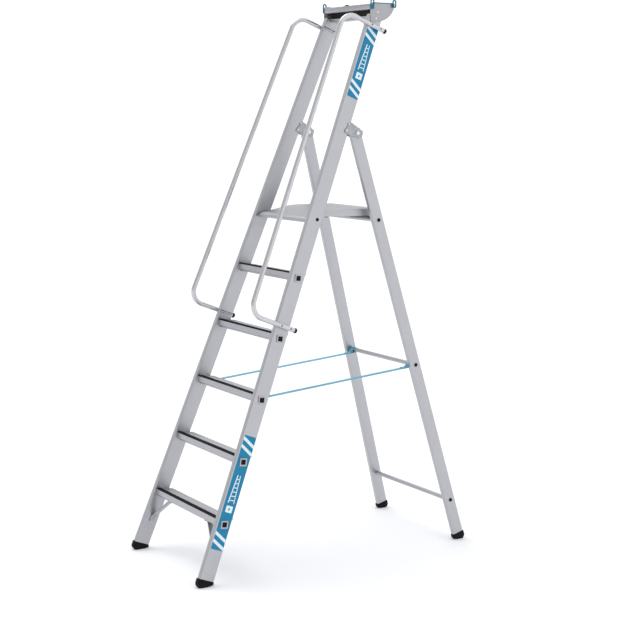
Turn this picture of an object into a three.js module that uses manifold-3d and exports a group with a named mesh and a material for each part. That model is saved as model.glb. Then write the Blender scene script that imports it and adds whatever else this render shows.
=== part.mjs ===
// Platform step ladder: a front frame with treads, handrails and a tool tray, a folding rear frame,
// a platform that swings up between the stiles, and two straps that stop the frames from spreading.
// Millimetres. +Z is up, +Y points from the climbing side to the rear legs, +X is the climber's right.
import * as THREE from "three";
import { mergeVertices } from "three/addons/utils/BufferGeometryUtils.js";
import Module from "manifold-3d";

const wasm = await Module();
wasm.setup();

// ---------------------------------------------------------------- driving dimensions
const GAP = 0.3; // between pieces that touch
const LEAN = THREE.MathUtils.degToRad(21.45); // front frame, from upright
const REAR_LEAN = THREE.MathUtils.degToRad(15.43);
const REAR_BASE = 1252; // front face of the rear legs on the floor, behind the front face of the stiles

const STILE = {
  depth: 65, thick: 22, wall: 1.8, corner: 3, half: 305.4, taper: 0.0548, foot: 41, top: 2400,
};
const LEG = { depth: 50, thick: 20, wall: 1.8, corner: 3, half: 301, foot: 23, top: 1822 };

const TREADS = 5;
const FIRST_TREAD = 264.1; // along the stile, to the centre of the tread's square tube
const TREAD_PITCH = 252.5;
const TREAD_DEPTH_ON_STILE = 35.5;
const TREAD = {
  front: -21.5, rear: 50, top: 21.5, skin: 2.8, tube: 13, bore: 10, lip: 15.5, proud: 2.4,
  frontFall: 27, rearFall: 8, tilt: THREE.MathUtils.degToRad(8), // the rear edge is the lower one
};
const RIB = { pitch: 4.4, height: 1.2 };
const GRIP = { depth: 18, recess: 2.5, proud: 0.8, overhang: 1.4, fall: 5 }; // rubber strip on the nose
const BRACE = { width: 24, thick: 3, pad: 30, reach: 96, fall: 84, foot: 24, clear: 1.6 };

const PIVOT = { depth: 107.5, along: 1918.5, radius: 5, head: 8.5, headHeight: 4 }; // fold axis
const BRACKET_SHEET = 2.6;

const PLATFORM = { pivotDepth: 42.8, pivotAlong: 1523.8, rod: 8, rear: 914, frontHalf: 189, rearHalf: 171 };
const SHEET = 2.4;
const TUBE_WALL = 1.6;

const CROSSBAR_RADIUS = 9;
const CROSSBAR_ALONG = { platform: 1434.1, strap: 795.6, bottom: 174.9 };
const CROSSBAR_DEPTH = 27;

const RAIL = { radius: 10, low: 1073, high: 2357, bow: 136, bowTop: 124, bend: 58, tail: 88 };
const RAIL_SIDES = 12;
const BEND_STEPS = 6;

const TRAY = { front: 876, rear: 997, floor: 2248, rim: 2271, wall: 2 };
const LINER = { half: 158, front: 900, rear: 985, bottom: 2227, wall: 2.4 }; // dark bin under the tray
const END_PLATE = { sheet: 2.5, bottom: 2197, top: 2275 };
const TOP_RAIL = { front: 896, rear: 932, bottom: 2211, top: 2226, wall: 2 };
const CAP = { thick: 7, width: 17, frontBottom: 2249, rearBottom: 2257, crown: 2281.5, slotInset: 5.4 };
const CAP_SLOT = { low: 2264, high: 2281 };

const STRAP = { x: 217, width: 25, thick: 2.4, frontDepth: 57, frontAlong: 777, knee: 306, drop: 1.2 };

// ---------------------------------------------------------------- materials
function surface(color, roughness, metalness) {
  return new THREE.MeshStandardMaterial({ color, roughness, metalness });
}
const ALUMINIUM = () => surface(0xb9bbc2, 0.38, 0.9);
const GALVANISED = () => surface(0x9aa3a6, 0.5, 0.8);
const RUBBER = () => surface(0x15161a, 0.85, 0);
const BLACK_PLASTIC = () => surface(0x1b1c20, 0.6, 0);
const BLUE_PLASTIC = () => surface(0x1f7fa8, 0.45, 0);
const WEBBING = () => surface(0x35a5c9, 0.9, 0);
const STEEL = () => surface(0xa6a8ab, 0.35, 0.95);

// ---------------------------------------------------------------- places on the two frames
// Depth runs back from the front face of the stile, and along runs up it from the floor.
function onStile(depth, along) {
  return {
    y: depth * Math.cos(LEAN) + along * Math.sin(LEAN),
    z: along * Math.cos(LEAN) - depth * Math.sin(LEAN),
  };
}
function onLeg(depth, along) {
  return {
    y: REAR_BASE + depth * Math.cos(REAR_LEAN) - along * Math.sin(REAR_LEAN),
    z: along * Math.cos(REAR_LEAN) + depth * Math.sin(REAR_LEAN),
  };
}
const stileOuter = (along) => STILE.half - STILE.taper * along;
const stileInner = (along) => stileOuter(along) - STILE.thick * 1.002;

const pivotPoint = onStile(PIVOT.depth, PIVOT.along);
const pivotOnLeg = {
  depth: (pivotPoint.y - REAR_BASE) * Math.cos(REAR_LEAN) + pivotPoint.z * Math.sin(REAR_LEAN),
  along: pivotPoint.z * Math.cos(REAR_LEAN) - (pivotPoint.y - REAR_BASE) * Math.sin(REAR_LEAN),
};
const pivotMiddle = stileOuter(PIVOT.along) - STILE.thick / 2;
LEG.taper = (LEG.half - LEG.thick / 2 - pivotMiddle) / pivotOnLeg.along;
const legOuter = (along) => LEG.half - LEG.taper * along;

// ---------------------------------------------------------------- geometry helpers
const v2 = ([x, y]) => new THREE.Vector2(x, y);

// An outline in Y and Z, pushed out along X.
function prismX(outline, x0, x1, holes = []) {
  const shape = new THREE.Shape(outline.map(v2));
  shape.holes = holes.map((hole) => new THREE.Path(hole.map(v2)));
  const geometry = new THREE.ExtrudeGeometry(shape, { depth: x1 - x0, bevelEnabled: false });
  const turn = new THREE.Matrix4().makeBasis(
    new THREE.Vector3(0, 1, 0), new THREE.Vector3(0, 0, 1), new THREE.Vector3(1, 0, 0));
  return geometry.applyMatrix4(turn).translate(x0, 0, 0);
}

// An outline in X and Y, pushed up along Z.
function prismZ(outline, z0, z1, holes = []) {
  const shape = new THREE.Shape(outline.map(v2));
  shape.holes = holes.map((hole) => new THREE.Path(hole.map(v2)));
  return new THREE.ExtrudeGeometry(shape, { depth: z1 - z0, bevelEnabled: false }).translate(0, 0, z0);
}

const rectangle = (x0, y0, x1, y1) => [[x0, y0], [x1, y0], [x1, y1], [x0, y1]];

function roundedRectangle(x0, y0, x1, y1, radius) {
  const corners = [[x1 - radius, y0 + radius], [x1 - radius, y1 - radius], [x0 + radius, y1 - radius],
    [x0 + radius, y0 + radius]];
  return corners.flatMap(([x, y], i) => {
    const from = (i - 1) * Math.PI / 2;
    return arc(x, y, radius, from, from + Math.PI / 2, 4);
  });
}

function boxBetween(low, high) {
  const size = high.map((value, i) => value - low[i]);
  return new THREE.BoxGeometry(...size).translate(...low.map((value, i) => value + size[i] / 2));
}

function cylinderX(radius, x0, x1, y = 0, z = 0, sides = 24) {
  const geometry = new THREE.CylinderGeometry(radius, radius, x1 - x0, sides);
  return geometry.rotateZ(Math.PI / 2).translate((x0 + x1) / 2, y, z);
}

function arc(cx, cy, radius, from, to, steps) {
  return Array.from({ length: steps + 1 }, (_, i) => {
    const angle = from + ((to - from) * i) / steps;
    return [cx + radius * Math.cos(angle), cy + radius * Math.sin(angle)];
  });
}

function solid(geometry, matrix) {
  const bare = new THREE.BufferGeometry();
  const source = geometry.index ? geometry.toNonIndexed() : geometry;
  bare.setAttribute("position", source.getAttribute("position").clone());
  if (matrix) bare.applyMatrix4(matrix);
  const merged = mergeVertices(bare, 1e-4);
  return new wasm.Manifold(new wasm.Mesh({
    numProp: 3,
    vertProperties: merged.attributes.position.array,
    triVerts: new Uint32Array(merged.index.array),
  }));
}

function geometryOf(manifold) {
  const mesh = manifold.getMesh();
  const geometry = new THREE.BufferGeometry();
  geometry.setAttribute("position", new THREE.BufferAttribute(new Float32Array(mesh.vertProperties), 3));
  geometry.setIndex(new THREE.BufferAttribute(new Uint32Array(mesh.triVerts), 1));
  geometry.computeVertexNormals();
  return geometry;
}

const join = (first, ...rest) => geometryOf(rest.reduce((all, g) => all.add(solid(g)), solid(first)));
const cut = (first, ...rest) => geometryOf(rest.reduce((all, g) => all.subtract(solid(g)), solid(first)));
const common = (first, second) => geometryOf(solid(first).intersect(solid(second)));

// A run of points that ExtrudeGeometry follows from knot to knot.
class Knots extends THREE.Curve {
  constructor(points) {
    super();
    this.points = points.map((p) => new THREE.Vector3(...p));
  }
  getPoint(t, target = new THREE.Vector3()) {
    const place = Math.min(Math.max(t, 0), 1) * (this.points.length - 1);
    const i = Math.min(Math.floor(place), this.points.length - 2);
    return target.lerpVectors(this.points[i], this.points[i + 1], place - i);
  }
  getUtoTmapping(u) {
    return u;
  }
}

function roundBar(points, radius, sides) {
  const section = new THREE.Shape(arc(0, 0, radius, 0, 2 * Math.PI, sides).slice(0, -1).map(v2));
  const extrudePath = new Knots(points);
  return new THREE.ExtrudeGeometry(section, { steps: points.length - 1, bevelEnabled: false, extrudePath });
}

// ---------------------------------------------------------------- the scene graph
const group = new THREE.Group();
const ladder = new THREE.Group(); // its own origin is under the front face of the stiles
group.add(ladder);

const frontFrame = new THREE.Group(); // Y is depth and Z is along, for the pieces that follow the stiles
frontFrame.rotation.x = -LEAN;
const rearFrame = new THREE.Group();
rearFrame.position.y = REAR_BASE;
rearFrame.rotation.x = REAR_LEAN;
ladder.add(frontFrame, rearFrame);

// A frame whose X = 0 plane is the outer face of one stile or leg.
function sideFrame(parent, side, half, taper) {
  const frame = new THREE.Group();
  frame.position.x = side * half;
  frame.rotation.y = -side * Math.atan(taper);
  parent.add(frame);
  return frame;
}

function add(parent, name, geometry, material) {
  const mesh = new THREE.Mesh(geometry, material);
  mesh.name = name;
  parent.add(mesh);
  return mesh;
}

const SIDES = [["left", -1], ["right", 1]];
const stileFrames = new Map(SIDES.map(([name, side]) =>
  [name, sideFrame(frontFrame, side, STILE.half, STILE.taper)]));
const legFrames = new Map(SIDES.map(([name, side]) =>
  [name, sideFrame(rearFrame, side, LEG.half, LEG.taper)]));

// Cuts a placed mesh with tools that are given in the ladder's frame.
function cutInPlace(mesh, ...tools) {
  ladder.updateMatrixWorld(true);
  const back = mesh.matrixWorld.clone().invert();
  const rest = tools.reduce((all, tool) => all.subtract(solid(tool, back)), solid(mesh.geometry));
  mesh.geometry = geometryOf(rest);
}

// X from the outer face inwards, whichever side it is.
const inwards = (side, from, to) => (side > 0 ? [-to, -from] : [from, to]);

// ---------------------------------------------------------------- stiles and legs
function boxSection(size, side, from, to) {
  const [x0, x1] = inwards(side, 0, size.thick);
  const { wall, depth, corner } = size;
  const hole = roundedRectangle(x0 + wall, wall, x1 - wall, depth - wall, corner - wall);
  return prismZ(roundedRectangle(x0, 0, x1, depth, corner), from, to, [hole]);
}

const treadPlaces = Array.from({ length: TREADS }, (_, i) => {
  const along = FIRST_TREAD + i * TREAD_PITCH;
  return { along, ...onStile(TREAD_DEPTH_ON_STILE, along) };
});
const platformPivot = onStile(PLATFORM.pivotDepth, PLATFORM.pivotAlong);
const crossbars = Object.entries(CROSSBAR_ALONG).map(([name, along]) =>
  ({ name, along, ...onLeg(CROSSBAR_DEPTH, along) }));

const FAR = 400; // beyond the width of the ladder
function addStile(name, side) {
  const stile = add(stileFrames.get(name), `stile_${name}`,
    boxSection(STILE, side, STILE.foot + GAP, STILE.top), ALUMINIUM());
  const reach = TREAD.tube + GAP;
  const holes = treadPlaces.map(({ y, z }) =>
    boxBetween([-FAR, -reach, -reach], [FAR, reach, reach]).rotateX(-TREAD.tilt).translate(0, y, z));
  const pivotHole = cylinderX(PLATFORM.rod + GAP, -FAR, FAR, platformPivot.y, platformPivot.z);
  cutInPlace(stile, ...holes, pivotHole);
}

function addLeg(name, side) {
  const leg = add(legFrames.get(name), `rear_leg_${name}`,
    boxSection(LEG, side, LEG.foot + GAP, LEG.top), ALUMINIUM());
  const holes = crossbars.map(({ y, z }) => cylinderX(CROSSBAR_RADIUS + GAP, -FAR, FAR, y, z));
  cutInPlace(leg, ...holes, cylinderX(PIVOT.radius + GAP, -FAR, FAR, pivotPoint.y, pivotPoint.z));
}

// ---------------------------------------------------------------- feet
// A rubber cap on the cut end of a box section, with a plug inside it and a small flat sole.
const SOLE_CUT = 2; // how far the outline reaches below the floor before it is cut flat
const belowFloor = () => boxBetween([-FAR, -FAR, -60], [FAR, 2000, 0]);
function footGeometry(size, side, outline) {
  const [x0, x1] = inwards(side, -1.5, size.thick + 1.5);
  const [p0, p1] = inwards(side, size.wall + GAP, size.thick - size.wall - GAP);
  const inset = size.wall + GAP;
  const plug = prismZ(roundedRectangle(p0, inset, p1, size.depth - inset, size.corner - size.wall),
    size.foot - 4, size.foot + 26);
  return join(prismX(outline, x0, x1), plug);
}

function addFrontFoot(name, side) {
  const floor = (depth) => depth * Math.tan(LEAN) - SOLE_CUT;
  const outline = [[-2.2, STILE.foot], [-2.6, 22], [1, 13], [9, 7.5], [20, floor(20)], [46, floor(46)],
    [57, 25], [65.6, 30], [66.6, STILE.foot]];
  const geometry = footGeometry(STILE, side, outline.reverse());
  cutInPlace(add(stileFrames.get(name), `front_foot_${name}`, geometry, RUBBER()), belowFloor());
}

function addRearFoot(name, side) {
  const floor = (depth) => -depth * Math.tan(REAR_LEAN) - SOLE_CUT;
  const outline = [[-2.4, LEG.foot], [-2.4, 8], [1, 2], [8, floor(8)], [36, floor(36)], [46, -6], [52.4, 2],
    [52.4, LEG.foot]];
  const geometry = footGeometry(LEG, side, outline.reverse());
  cutInPlace(add(legFrames.get(name), `rear_foot_${name}`, geometry, RUBBER()), belowFloor());
}

// ---------------------------------------------------------------- treads
function treadOutline() {
  const { front, rear, top, skin, tube, frontFall, rearFall } = TREAD;
  const outline = [[-tube, -tube], [tube, -tube], [tube, top - skin], [rear - 3, top - skin],
    [rear - 3, top - rearFall], [rear, top - rearFall], [rear, top]];
  const ribbedTo = front + GRIP.depth;
  for (let y = rear - 2; y - RIB.pitch > ribbedTo; y -= RIB.pitch) {
    const back = y - RIB.pitch / 2;
    outline.push([y, top], [y, top - RIB.height], [back, top - RIB.height], [back, top]);
  }
  const gripFloor = top - GRIP.recess;
  outline.push([ribbedTo, top], [ribbedTo, gripFloor], [front, gripFloor], [front, top - frontFall],
    [front + 3, top - frontFall], [front + 3, gripFloor - skin], [-tube, gripFloor - skin]);
  return outline;
}

const treadFrames = treadPlaces.map(({ y, z }) => {
  const frame = new THREE.Group();
  frame.position.set(0, y, z);
  frame.rotation.x = -TREAD.tilt;
  ladder.add(frame);
  return frame;
});

function addTread(place, number) {
  const frame = treadFrames[number - 1];
  const half = stileInner(place.along + 50) - GAP;
  const outer = stileOuter(place.along - 20) + GAP;
  const bore = rectangle(-TREAD.bore, -TREAD.bore, TREAD.bore, TREAD.bore);
  const square = (r) => rectangle(-r, -r, r, r);
  const channel = rectangle(-TREAD.bore, TREAD.tube, TREAD.bore, TREAD.top - GRIP.recess - TREAD.skin);
  const end = outer + TREAD.proud;
  const deck = prismX(treadOutline(), -half, half, [bore, channel]);
  const ends = SIDES.flatMap(([, side]) => [
    prismX(square(TREAD.tube), ...(side > 0 ? [half - 1, end] : [-end, 1 - half]), [bore]),
    prismX(square(TREAD.lip), ...(side > 0 ? [outer, end] : [-end, -outer]), [bore]),
  ]);
  add(frame, `tread_${number}`, join(deck, ...ends), ALUMINIUM());

  const { front, top } = TREAD;
  const nose = front - GRIP.overhang;
  const under = top - GRIP.recess + GAP;
  const back = front + GRIP.depth - GAP;
  const crown = top + GRIP.proud;
  const low = top - GRIP.fall;
  const strip = [[nose, low], [front - GAP, low], [front - GAP, under], [back, under], [back, crown],
    [nose + 1, crown], [nose, crown - GRIP.overhang]];
  add(frame, `tread_grip_${number}`, prismX(strip, -half, half), RUBBER());

  const plug = TREAD.bore - GAP;
  for (const [name, side] of SIDES) {
    const [x0, x1] = side > 0 ? [end - 14, end - 1] : [1 - end, 14 - end];
    add(frame, `tread_plug_${number}_${name}`,
      boxBetween([x0, -plug, -plug], [x1, plug, plug]), BLACK_PLASTIC());
  }
}

// A flat strut from the underside of the first tread out to the stile, leaning with the stile.
function addBrace(name, side) {
  const { along } = treadPlaces[0];
  const { width, thick, pad, reach, fall, foot, clear } = BRACE;
  const top = -TREAD.tube - GAP;
  const bend = top - fall;
  const wallTop = stileInner(along - fall - 19) - clear;
  const wallLow = stileInner(along - fall - foot - 25) - clear;
  const outline = [[wallTop - reach - pad, top], [wallTop - reach, top], [wallTop, bend],
    [wallLow, bend - foot], [wallLow - thick, bend - foot], [wallTop - thick, bend - 1],
    [wallTop - reach - 1, top - thick], [wallTop - reach - pad, top - thick]];
  const shape = new THREE.Shape(outline.map(([x, up]) => v2([side * x, up])));
  const bar = new THREE.ExtrudeGeometry(shape, { depth: width, bevelEnabled: false });
  bar.rotateX(Math.PI / 2).translate(0, width / 2, 0);
  const slope = Math.tan(LEAN - TREAD.tilt);
  const lean = new THREE.Matrix4().set(1, 0, 0, 0, 0, 1, slope, -top * slope, 0, 0, 1, 0, 0, 0, 0, 1);
  add(treadFrames[0], `tread_brace_${name}`, bar.applyMatrix4(lean), ALUMINIUM());
}

// ---------------------------------------------------------------- hinge
const BRACKET_OUTLINE = [[46, 1901], [84, 1899], [124, 1905], [133, 1914], [131, 1938], [68, 1951],
  [59, 1950], [44, 1910]];

function addBracket(name, side) {
  const inner = STILE.thick;
  const outside = prismX(BRACKET_OUTLINE, ...inwards(side, -GAP - BRACKET_SHEET, -GAP));
  const inside = prismX(BRACKET_OUTLINE, ...inwards(side, inner + GAP, inner + GAP + BRACKET_SHEET));
  const [w0, w1] = inwards(side, -GAP - BRACKET_SHEET, inner + GAP + BRACKET_SHEET);
  const web = boxBetween([w0, STILE.depth + GAP, 1902], [w1, STILE.depth + GAP + BRACKET_SHEET, 1948]);
  const frame = stileFrames.get(name);
  const bracket = add(frame, `hinge_bracket_${name}`, join(outside, inside, web), GALVANISED());
  cutInPlace(bracket, cylinderX(PIVOT.radius + GAP, -FAR, FAR, pivotPoint.y, pivotPoint.z));
}

function addHingeBolt(name, side) {
  const reach = STILE.thick / 2 + 2 * GAP + BRACKET_SHEET + 0.6;
  const { radius, head, headHeight } = PIVOT;
  const end = reach + headHeight;
  const profile = [[0, -end], [head - 1, -end], [head, 1 - end], [head, -reach], [radius, -reach],
    [radius, reach], [head, reach], [head, end - 1], [head - 1, end], [0, end]];
  const bolt = new THREE.LatheGeometry(profile.map(v2), 24).rotateZ(Math.PI / 2);
  const mesh = add(ladder, `hinge_bolt_${name}`, bolt, STEEL());
  mesh.position.set(side * pivotMiddle, pivotPoint.y, pivotPoint.z);
}

// ---------------------------------------------------------------- platform
const PLATFORM_TOP = [[562, 1402], [570, 1410], [600, 1415], [656, 1427], [730, 1438],
  [PLATFORM.rear, 1438]];
const PLATFORM_BOTTOM = [[PLATFORM.rear, 1392], [PLATFORM.rear - 8, 1404], [655, 1411], [622, 1392],
  [562, 1390]];

// The plan narrows towards the rear, so that the folded platform fits between the stiles.
function platformBlock(inset) {
  const { rear, frontHalf, rearHalf } = PLATFORM;
  const front = PLATFORM_TOP[0][0];
  const wide = frontHalf - inset;
  const narrow = rearHalf - inset;
  const plan = [[-narrow, rear - inset], [-wide, 700], [-wide, front + inset], [wide, front + inset],
    [wide, 700], [narrow, rear - inset]];
  const side = inset
    ? [...PLATFORM_TOP.map(([y, z]) => [y, z - inset]), [rear, 1300], [562, 1300]]
    : [...PLATFORM_TOP, ...PLATFORM_BOTTOM];
  return common(prismX(side.reverse(), -FAR, FAR), prismZ(plan.reverse(), 1200, 1500));
}

function addPlatform() {
  const { y, z } = platformPivot;
  const shell = cut(platformBlock(0), platformBlock(SHEET), cylinderX(PLATFORM.rod + GAP, -FAR, FAR, y, z));
  add(ladder, "platform_deck", shell, ALUMINIUM());
  const end = stileOuter(PLATFORM.pivotAlong) + 1;
  const rod = cut(cylinderX(PLATFORM.rod, -end, end), cylinderX(PLATFORM.rod - TUBE_WALL, -FAR, FAR));
  const mesh = add(ladder, "platform_pivot_rod", rod, ALUMINIUM());
  mesh.position.set(0, y, z);
}

// ---------------------------------------------------------------- rear frame crossbars
function addCrossbar({ name, along, y, z }) {
  const end = legOuter(along) + 1;
  const bore = cylinderX(CROSSBAR_RADIUS - TUBE_WALL, -FAR, FAR);
  const tube = cut(cylinderX(CROSSBAR_RADIUS, -end, end), bore);
  add(ladder, `${name}_crossbar`, tube, ALUMINIUM()).position.set(0, y, z);
}

// ---------------------------------------------------------------- handrails
function railPoints(side) {
  const { low, high, bow, bowTop, bend, tail, radius } = RAIL;
  const x = side * (radius + GAP + 0.3);
  const lowArc = arc(-bow + bend, low + bend, bend, -Math.PI / 2, -Math.PI, BEND_STEPS);
  const highArc = arc(-bowTop + bend, high - bend, bend, -Math.PI, -1.5 * Math.PI, BEND_STEPS);
  return [[tail, low], ...lowArc, ...highArc, [tail, high]].map(([depth, along]) => [x, depth, along]);
}

function addRail(name, side) {
  const frame = stileFrames.get(name);
  add(frame, `handrail_${name}`, roundBar(railPoints(side), RAIL.radius, RAIL_SIDES), ALUMINIUM());
  for (const [level, along] of [["lower", RAIL.low], ["upper", RAIL.high]]) {
    const [x0, x1] = inwards(side, STILE.thick + GAP, STILE.thick + GAP + 3);
    add(frame, `handrail_clamp_${level}_${name}`,
      boxBetween([x0, 2, along - 4], [x1, STILE.depth - 6, along + 6]), ALUMINIUM());
  }
}

// ---------------------------------------------------------------- tool tray
function addTray() {
  const half = stileOuter(STILE.top + 30) - GAP;
  const { front, rear, floor, rim, wall } = TRAY;
  const pan = cut(boxBetween([-half, front, floor], [half, rear, rim]),
    boxBetween([-half + wall, front + wall, floor + wall], [half - wall, rear - wall, rim + 10]));
  add(ladder, "tool_tray", pan, ALUMINIUM());
  const railHalf = stileInner(STILE.top) - GAP;
  const { bottom: low, top: high, wall: inset } = TOP_RAIL;
  const section = roundedRectangle(TOP_RAIL.front, low, TOP_RAIL.rear, high, STILE.corner);
  const hole = roundedRectangle(TOP_RAIL.front + inset, low + inset, TOP_RAIL.rear - inset, high - inset, 1);
  add(ladder, "top_cross_rail", prismX(section, -railHalf, railHalf, [hole]), ALUMINIUM());
  const { half: x, front: y0, rear: y1, bottom, wall: thick } = LINER;
  const bin = cut(boxBetween([-x, y0, bottom], [x, y1, floor - GAP]),
    boxBetween([thick - x, y0 + thick, bottom + thick], [x - thick, y1 - thick, floor + 10]));
  add(ladder, "tray_liner", bin, BLACK_PLASTIC());
}

// A shield-shaped cheek that ties the tray to the outer face of the stile,
// with a blue cap at each top corner.
function addEndPlate(name, side) {
  const { sheet, bottom, top } = END_PLATE;
  const { front, rear } = TRAY;
  const reach = rear - front - 24;
  const sweep = arc(front + 24, top, reach, 0, -Math.PI / 2 * 0.93, 8)
    .map(([y, z]) => [y, top + (z - top) * (top - bottom) / reach]);
  const outline = [[front + 1, top], [front + 1, bottom + 4], [front + 8, bottom - 1], ...sweep.reverse()];
  const x = stileOuter(2375) + 2 * GAP;
  const place = (a, b) => (side > 0 ? [a, b] : [-b, -a]);
  add(ladder, `tray_end_plate_${name}`, prismX(outline, ...place(x, x + sheet)), ALUMINIUM());
  const capSide = [x + sheet + GAP, x + sheet + GAP + CAP.thick];
  const { width, crown, slotInset } = CAP;
  for (const [end, y0, low] of [
    ["front", front - 1, CAP.frontBottom],
    ["rear", rear + 4 - width, CAP.rearBottom],
  ]) {
    const y1 = y0 + width;
    const cap = [[y0, low], [y1, low], ...arc(y0 + width / 2, crown, width / 2, 0, Math.PI, 8)];
    const slot = rectangle(y0 + slotInset, CAP_SLOT.low, y1 - slotInset, CAP_SLOT.high);
    add(ladder, `tray_cap_${end}_${name}`, prismX(cap, ...place(...capSide), [slot]), BLUE_PLASTIC());
  }
}

// ---------------------------------------------------------------- straps
// Each strap is made in two lengths that meet at a knee,
// so that it can hang slack when the ladder is folded.
// Both lengths lie below the line through their pivots, so that they close face to face.
const strapFront = onStile(STRAP.frontDepth, STRAP.frontAlong);
const strapBar = crossbars.find(({ name }) => name === "strap");
const strapRear = { y: strapBar.y, z: strapBar.z - CROSSBAR_RADIUS - STRAP.thick / 2 - STRAP.drop };
const strapSlope = Math.atan2(strapRear.z - strapFront.z, strapRear.y - strapFront.y);
const strapLength = Math.hypot(strapRear.z - strapFront.z, strapRear.y - strapFront.y);

function addStrap(name, side) {
  const frame = new THREE.Group();
  frame.position.set(side * STRAP.x, strapFront.y, strapFront.z);
  frame.rotation.x = strapSlope;
  ladder.add(frame);
  const half = STRAP.width / 2;
  const length = (from, to) => boxBetween([-half, from, -STRAP.thick], [half, to, 0]);
  add(frame, `strap_front_${name}`, length(0, STRAP.knee - GAP / 2), WEBBING());
  add(frame, `strap_rear_${name}`, length(STRAP.knee + GAP / 2, strapLength), WEBBING());
}

// ---------------------------------------------------------------- build
for (const [name, side] of SIDES) {
  addStile(name, side);
  addLeg(name, side);
  addFrontFoot(name, side);
  addRearFoot(name, side);
  addBrace(name, side);
  addBracket(name, side);
  addHingeBolt(name, side);
  addRail(name, side);
  addEndPlate(name, side);
  addStrap(name, side);
}
treadPlaces.forEach((place, i) => addTread(place, i + 1));
crossbars.forEach(addCrossbar);
addPlatform();
addTray();

// The origin is on the floor, under the middle of the part.
const bounds = new THREE.Box3().setFromObject(ladder, true);
ladder.position.y = -(bounds.min.y + bounds.max.y) / 2;
ladder.position.z = -bounds.min.z;

export default group;
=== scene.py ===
"""Platform step ladder: what is seen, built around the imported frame.

Lengths here are millimetres, as in the CAD. make() turns each mesh into metres.
Each stile and rear leg has its own frame: X out from its outer face, Y its depth and Z along it.
"""

from math import atan, atan2, copysign, cos, pi, radians, sin, tan

import bmesh
import bpy
from mathutils import Matrix, Vector
from mathutils.geometry import tessellate_polygon


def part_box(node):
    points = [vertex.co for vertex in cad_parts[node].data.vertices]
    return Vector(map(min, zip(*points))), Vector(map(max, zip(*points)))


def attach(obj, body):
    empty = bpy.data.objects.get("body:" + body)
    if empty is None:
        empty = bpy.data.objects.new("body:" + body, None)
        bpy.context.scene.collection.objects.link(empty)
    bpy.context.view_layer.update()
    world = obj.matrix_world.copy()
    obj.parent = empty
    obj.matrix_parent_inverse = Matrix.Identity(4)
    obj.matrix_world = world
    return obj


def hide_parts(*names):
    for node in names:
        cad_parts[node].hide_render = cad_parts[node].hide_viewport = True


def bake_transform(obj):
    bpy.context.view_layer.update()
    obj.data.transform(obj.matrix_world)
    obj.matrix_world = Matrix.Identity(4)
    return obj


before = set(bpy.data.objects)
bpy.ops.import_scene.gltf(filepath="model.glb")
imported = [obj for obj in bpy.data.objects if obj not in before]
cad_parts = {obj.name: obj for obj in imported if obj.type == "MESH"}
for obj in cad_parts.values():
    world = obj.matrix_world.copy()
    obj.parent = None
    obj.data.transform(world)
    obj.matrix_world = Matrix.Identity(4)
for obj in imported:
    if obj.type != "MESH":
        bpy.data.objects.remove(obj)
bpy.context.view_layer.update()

# ---------------- driving dimensions
MM = 0.001
GAP = 0.3
LEAN = radians(21.45)
REAR_LEAN = radians(15.43)
REAR_BASE = 1252

STILE_HALF, STILE_TAPER, STILE_DEPTH, STILE_THICK = 305.4, 0.0548, 65, 22
STILE_FOOT, STILE_TOP = 41, 2400
LEG_HALF, LEG_TAPER, LEG_DEPTH, LEG_THICK = 301, 0.05642, 50, 20
LEG_FOOT, LEG_TOP = 23, 1822
WALL = 1.8
TUBE_WALL = 1.6

TREADS = 5
FIRST_TREAD, TREAD_PITCH, TREAD_DEPTH = 264.1, 252.5, 35.5
TREAD_TUBE, TREAD_BORE, TREAD_LIP, TREAD_PROUD = 13, 10, 15.5, 2.4
TREAD_FRONT, TREAD_REAR, TREAD_TOP, TREAD_SKIN = -21.5, 50, 21.5, 2.8
FRONT_FALL, REAR_FALL = 27, 8
TREAD_TILT = radians(8)
GRIP_DEPTH, GRIP_RECESS, GRIP_FALL = 18, 2.5, 5

PIVOT_DEPTH, PIVOT_ALONG = 107.5, 1918.5
PLATFORM_PIVOT = (42.8, 1523.8)
ROD_RADIUS = 8
BAR_RADIUS = 9
BAR_DEPTH = 27
BAR_ALONG = {"platform": 1434.1, "strap": 795.6, "bottom": 174.9}

RAIL_RADIUS, RAIL_LOW, RAIL_HIGH = 10, 1073, 2357
RAIL_BOW, RAIL_BOW_TOP, RAIL_BEND, RAIL_TAIL = 136, 124, 58, 88

TRAY_FRONT, TRAY_REAR, TRAY_FLOOR, TRAY_RIM = 876, 997, 2248, 2271
STRAP_X, STRAP_WIDTH, STRAP_THICK, STRAP_KNEE = 217, 25, 2.4, 306
STRAP_ANCHOR = (57, 777)

SIDES = (("left", -1), ("right", 1))


# ---------------- places
def on_stile(depth, along):
    """Y and Z of a point on the front frame."""
    return (
        depth * cos(LEAN) + along * sin(LEAN),
        along * cos(LEAN) - depth * sin(LEAN),
    )


def on_leg(depth, along):
    """Y and Z of a point on the rear frame."""
    return (
        REAR_BASE + depth * cos(REAR_LEAN) - along * sin(REAR_LEAN),
        along * cos(REAR_LEAN) + depth * sin(REAR_LEAN),
    )


def stile_outer(along):
    return STILE_HALF - STILE_TAPER * along


def stile_inner(along):
    return stile_outer(along) - STILE_THICK * 1.002


def leg_outer(along):
    return LEG_HALF - LEG_TAPER * along


rod_low, rod_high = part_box("platform_pivot_rod")
SHIFT = (rod_low[1] + rod_high[1]) / 2 / MM - on_stile(*PLATFORM_PIVOT)[0]
LADDER = Matrix.Translation((0, SHIFT, 0))
FRONT = LADDER @ Matrix.Rotation(-LEAN, 4, "X")
REAR = LADDER @ Matrix.Translation((0, REAR_BASE, 0)) @ Matrix.Rotation(REAR_LEAN, 4, "X")


def stile_frame(side):
    outer = Matrix.Translation((side * STILE_HALF, 0, 0))
    return FRONT @ outer @ Matrix.Rotation(-side * atan(STILE_TAPER), 4, "Y")


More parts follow.
